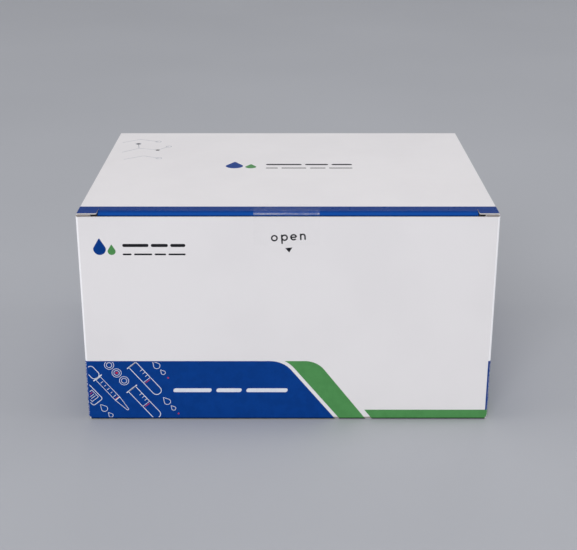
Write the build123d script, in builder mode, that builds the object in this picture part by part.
"""Folding carton with a slit-lock tuck lid, closed and sealed with a strip of clear film.

Millimetres, +Z up, front panel towards -Y. The origin is at the middle of the face it stands on.
The board is one blank, folded and glued, so the carton is one hollow solid of true thickness. Top
and bottom close alike: the bottom is the top turned half a turn about the X axis (a reverse tuck).
"""

import os
from math import radians, tan

from build123d import *

# Board
carton_width = 200.0
carton_depth = 157.4
front_height = 106.8
board = 0.6
ply_gap = 0.2
wall_crease = 1.2
dust_crease = 0.7

# Lid, its tuck flap and the slits that lock it
lid_inset = 0.6
tuck_bend = 5.0
tuck_length = 24.0
tuck_inset = 1.8
tuck_corner = 12.0
slit_length = 10.1
slit_return = 6.8
slit_width = 0.25
tab_corner = 0.8

# Dust flaps, hinged on the side panels
dust_length = 62.0
dust_taper = 12.0
dust_corner = 5.0
dust_back_gap = 1.5
ear_width = 6.9
ear_depth = 8.0
ear_corner = 1.0

# Glue flap, behind the left side panel
glue_width = 15.0
glue_root = 3.0
glue_margin = 1.5
glue_taper = 4.0
seam_setback = 0.5

# Print
ink = 0.1
band_height = 32.2
band_toe = 23.9
band_slant = 50.8
band_shoulder = 13.3
stripe_gap = 1.8
stripe_toe = 39.1
stripe_slant = 52.4
stripe_shoulder = 12.0
rule_height = 5.4
rule_gap = 3.3
side_bleed = 1.3
print_turn = 45.0
lid_strip_depth = 10.9
lid_strip_turn = 72.0

# Seal
film = 0.1
film_lay = 0.05
seal_width = 31.5
seal_offset = -0.7
seal_on_lid = 15.0
seal_on_front = 14.0
seal_lift_turn = 32.0

# Places that follow from the sizes above
half_width = carton_width / 2
half_depth = carton_depth / 2
ply = board + ply_gap
carton_height = front_height + 2 * ply
foot = carton_height - front_height
tuck_face = ply - half_depth
tab_face = board - half_depth
bend_y = tuck_face + tuck_bend
bend_z = carton_height - tuck_bend


def slant_run(height, slant):
    """Return how far a print edge of this slant moves sideways over a height."""
    return height / tan(radians(slant))


# Four walls, as one strip of board with rounded creases. It starts at the left panel's free edge and
# runs round by the front to the back panel.
with BuildPart() as walls:
    with BuildSketch(Plane.XY.offset(foot)):
        with BuildLine():
            FilletPolyline(
                (-half_width, half_depth - seam_setback),
                (-half_width, -half_depth),
                (half_width, -half_depth),
                (half_width, half_depth),
                (0, half_depth),
                radius=wall_crease,
            )
            offset(amount=board, side=Side.LEFT)
        make_face()
    extrude(amount=front_height - foot)

# The back panel's last crease turns inside the left panel as the glue flap, with tapered ends.
with BuildPart() as glue_flap:
    with BuildSketch(Plane.XY.offset(foot)):
        with BuildLine():
            FilletPolyline(
                (0, half_depth),
                (board - half_width, half_depth),
                (board - half_width, half_depth - glue_width),
                radius=wall_crease,
            )
            offset(amount=board, side=Side.LEFT)
        make_face()
    extrude(amount=front_height - foot)
    with BuildSketch(Plane.YZ):
        with BuildLine():
            Polyline(
                (half_depth, foot),
                (half_depth - glue_root, foot),
                (half_depth - glue_root, foot + glue_margin),
                (half_depth - glue_width, foot + glue_margin + glue_taper),
                (half_depth - glue_width, front_height - glue_margin - glue_taper),
                (half_depth - glue_root, front_height - glue_margin),
                (half_depth - glue_root, front_height),
                (half_depth, front_height),
                close=True,
            )
        make_face()
    extrude(amount=half_width, both=True, mode=Mode.INTERSECT)

# The lid's flat tabs at its front corners, beside the slits.
with BuildSketch(Plane.XY.offset(carton_height)) as tabs:
    for side in (-1, 1):
        with Locations((side * (half_width - lid_inset), slit_return - half_depth)):
            Rectangle(
                slit_length - lid_inset - slit_width,
                slit_return - board,
                align=(Align.MAX if side > 0 else Align.MIN, Align.MAX),
            )
    inner_corners = tabs.vertices().group_by(Axis.Y)[0].sort_by(Axis.X)[1:3]
    fillet(inner_corners, radius=tab_corner)

# Lid and tuck flap: up the back panel, over its crease, along the lid, round the soft bend and down
# inside the front panel. The slits free the bend from a flat tab at each front corner.
with BuildPart() as lid:
    with BuildSketch(Plane.YZ):
        with BuildLine():
            FilletPolyline(
                (half_depth, front_height - wall_crease),
                (half_depth, carton_height),
                (tuck_face, carton_height),
                (tuck_face, carton_height - tuck_length),
                radius=(wall_crease, tuck_bend),
            )
            offset(amount=board, side=Side.LEFT)
        make_face()
    extrude(amount=half_width, both=True)
    with BuildSketch(Plane.XY.offset(carton_height)):
        RectangleRounded(carton_width - 2 * lid_inset, carton_depth, wall_crease)
    extrude(amount=-tuck_length, mode=Mode.INTERSECT)
    # Slits, and the tuck flap's narrower ends below them.
    with BuildSketch(Plane.XY.offset(front_height)):
        for side in (-1, 1):
            with Locations((side * half_width, -half_depth)):
                Rectangle(2 * slit_length, 2 * slit_return)
    extrude(amount=carton_height, mode=Mode.SUBTRACT)
    with BuildSketch(Plane.XZ.offset(-tuck_face)):
        with Locations((0, carton_height - tuck_length)):
            Rectangle(carton_width, 2 * (front_height - carton_height + tuck_length))
        with Locations((0, carton_height)):
            Rectangle(carton_width - 2 * tuck_inset, 2 * tuck_length, mode=Mode.SUBTRACT)
    extrude(amount=-tuck_bend, mode=Mode.SUBTRACT)
    tuck_end = lid.faces().filter_by(Axis.Z).sort_by(Axis.Z)[0]
    fillet(tuck_end.edges().filter_by(Axis.Y), radius=tuck_corner)
    extrude(tabs.sketch, amount=-board)

# Dust flap on the right: its side panel's top, the crease and the flap, cut to its outline. The ear
# at its front lies under the lid's tab, clear of the soft bend.
with BuildPart() as dust_flap:
    with BuildSketch(Plane.XZ):
        with BuildLine():
            FilletPolyline(
                (half_width, front_height - wall_crease),
                (half_width, carton_height - ply),
                (half_width - dust_length, carton_height - ply),
                radius=dust_crease,
            )
            offset(amount=board, side=Side.LEFT)
        make_face()
    extrude(amount=half_depth, both=True)
    with BuildSketch(Plane.XY.offset(front_height - wall_crease)) as dust_outline:
        with BuildLine():
            Polyline(
                (half_width, tab_face),
                (half_width - ear_width, tab_face),
                (half_width - ear_width, ear_depth - half_depth),
                (half_width - dust_length, ear_depth + dust_taper - half_depth),
                (half_width - dust_length, half_depth - dust_back_gap - dust_taper),
                (half_width - board, half_depth - dust_back_gap),
                (half_width, half_depth - dust_back_gap),
                close=True,
            )
        make_face()
        flap_end = dust_outline.vertices().group_by(Axis.X)[0]
        fillet(flap_end, radius=dust_corner)
        fillet(dust_outline.vertices().group_by(Axis.Y)[0].sort_by(Axis.X)[0], radius=ear_corner)
        RectangleRounded(carton_width, carton_depth, wall_crease, mode=Mode.INTERSECT)
    extrude(amount=carton_height - front_height + wall_crease, mode=Mode.INTERSECT)

with BuildPart() as closure:
    add(lid.part)
    add(dust_flap.part)
    add(mirror(dust_flap.part, about=Plane.YZ))

with BuildPart() as carton:
    add(walls.part)
    add(glue_flap.part)
    add(closure.part)
    with Locations(Location((0, 0, carton_height), (180, 0, 0))):
        add(closure.part)

# Outlines of the print on the front panel, each a field with a slanted end. The stripe starts as a
# point beside the band's round shoulder.
with BuildSketch(Plane.XZ) as band_outline:
    with BuildLine():
        Polyline(
            (-carton_width, 0),
            (band_toe, 0),
            (band_toe - slant_run(band_height, band_slant), band_height),
            (-carton_width, band_height),
            close=True,
        )
    make_face()
    fillet(band_outline.vertices().group_by(Axis.Y)[-1].sort_by(Axis.X)[-1], radius=band_shoulder)

with BuildSketch(Plane.XZ) as stripe_outline:
    with BuildLine():
        Polyline(
            (0, 0),
            (stripe_toe, 0),
            (stripe_toe - slant_run(band_height, stripe_slant), band_height),
            (-band_toe, band_height),
            close=True,
        )
    make_face()
    fillet(
        stripe_outline.vertices().group_by(Axis.Y)[-1].sort_by(Axis.X)[-1], radius=stripe_shoulder
    )
    offset(band_outline.sketch, amount=stripe_gap, mode=Mode.SUBTRACT)

with BuildSketch(Plane.XZ) as rule_outline:
    with BuildLine():
        Polyline(
            (stripe_toe + rule_gap, 0),
            (half_width, 0),
            (half_width, rule_height),
            (stripe_toe + rule_gap - slant_run(rule_height, stripe_slant), rule_height),
            close=True,
        )
    make_face()


def front_field(outline):
    """Return the film of ink on the front panel, and round its lower crease, inside an outline."""
    with BuildPart() as field:
        with BuildSketch(Plane.YZ):
            with BuildLine():
                Line((-half_depth, band_height), (-half_depth, wall_crease))
                CenterArc((wall_crease - half_depth, wall_crease), wall_crease, 180, print_turn)
                offset(amount=ink, side=Side.RIGHT)
            make_face()
        extrude(amount=half_width - wall_crease, both=True)
        extrude(outline.sketch, amount=carton_depth, both=True, mode=Mode.INTERSECT)
    return field.part


# Blue band: its slanted end is on the front, and it wraps the left panel down to the foot. On the
# right and back panels it runs above the green rule, from a bleed round the right front crease.
with BuildPart() as blue_band:
    with BuildSketch(Plane.XY.offset(foot)):
        with BuildLine():
            FilletPolyline(
                (-half_width, half_depth - seam_setback),
                (-half_width, -half_depth),
                (0, -half_depth),
                radius=wall_crease,
            )
            offset(amount=ink, side=Side.RIGHT)
        make_face()
    extrude(amount=band_height - foot)
    extrude(band_outline.sketch, amount=carton_depth, both=True, mode=Mode.INTERSECT)
    add(front_field(band_outline))
    with BuildSketch(Plane.XY.offset(rule_height)):
        with BuildLine():
            FilletPolyline(
                (half_width - side_bleed, -half_depth),
                (half_width, -half_depth),
                (half_width, half_depth),
                (board + wall_crease - half_width, half_depth),
                radius=wall_crease,
            )
            offset(amount=ink, side=Side.RIGHT)
        make_face()
    extrude(amount=band_height - rule_height)

with BuildPart() as green_stripe:
    add(front_field(stripe_outline))

with BuildPart() as green_rule:
    add(front_field(rule_outline))
    with BuildSketch(Plane.XY.offset(foot)):
        with BuildLine():
            FilletPolyline(
                (half_width - 2 * wall_crease, -half_depth),
                (half_width, -half_depth),
                (half_width, half_depth),
                (board + wall_crease - half_width, half_depth),
                radius=wall_crease,
            )
            offset(amount=ink, side=Side.RIGHT)
        make_face()
    extrude(amount=rule_height - foot)

# Blue strip along the lid's front edge, over the bend and on the tabs.
with BuildPart() as lid_strip:
    with BuildSketch(Plane.YZ):
        with BuildLine():
            Line((lid_strip_depth - half_depth, carton_height), (bend_y, carton_height))
            CenterArc((bend_y, bend_z), tuck_bend, 90, lid_strip_turn)
            offset(amount=ink, side=Side.RIGHT)
        make_face()
    extrude(amount=half_width - lid_inset, both=True)
    with BuildSketch(Plane.XY.offset(front_height - tuck_bend)):
        for side in (-1, 1):
            with Locations((side * half_width, -half_depth)):
                Rectangle(2 * slit_length, 2 * slit_return)
    extrude(amount=2 * tuck_bend, mode=Mode.SUBTRACT)
    extrude(tabs.sketch, amount=ink)

# Clear film: it lies on the lid and its bend, dips to the front panel's raw edge and turns down.
with BuildPart() as seal_tape:
    with BuildSketch(Plane.YZ.offset(seal_offset)):
        with BuildLine():
            lid_lay = ink + film_lay
            Line((seal_on_lid - half_depth, carton_height + lid_lay), (bend_y, carton_height + lid_lay))
            on_bend = CenterArc((bend_y, bend_z), tuck_bend + lid_lay, 90, seal_lift_turn)
            front_corner = (-half_depth - film_lay, front_height + film_lay)
            TangentArc(on_bend @ 1, front_corner, tangent=on_bend % 1)
            Line(front_corner, (-half_depth - film_lay, front_height - seal_on_front))
            offset(amount=film, side=Side.RIGHT)
        make_face()
    extrude(amount=seal_width / 2, both=True)

os.makedirs("parts", exist_ok=True)

carton.part.label = "carton"
export_step(carton.part, "parts/carton.step")

seal_tape.part.label = "seal_tape"
export_step(seal_tape.part, "parts/seal_tape.step")

blue_band.part.label = "blue_band"
export_step(blue_band.part, "parts/blue_band.step")

green_stripe.part.label = "green_stripe"
export_step(green_stripe.part, "parts/green_stripe.step")

green_rule.part.label = "green_rule"
export_step(green_rule.part, "parts/green_rule.step")

lid_strip.part.label = "lid_strip"
export_step(lid_strip.part, "parts/lid_strip.step")
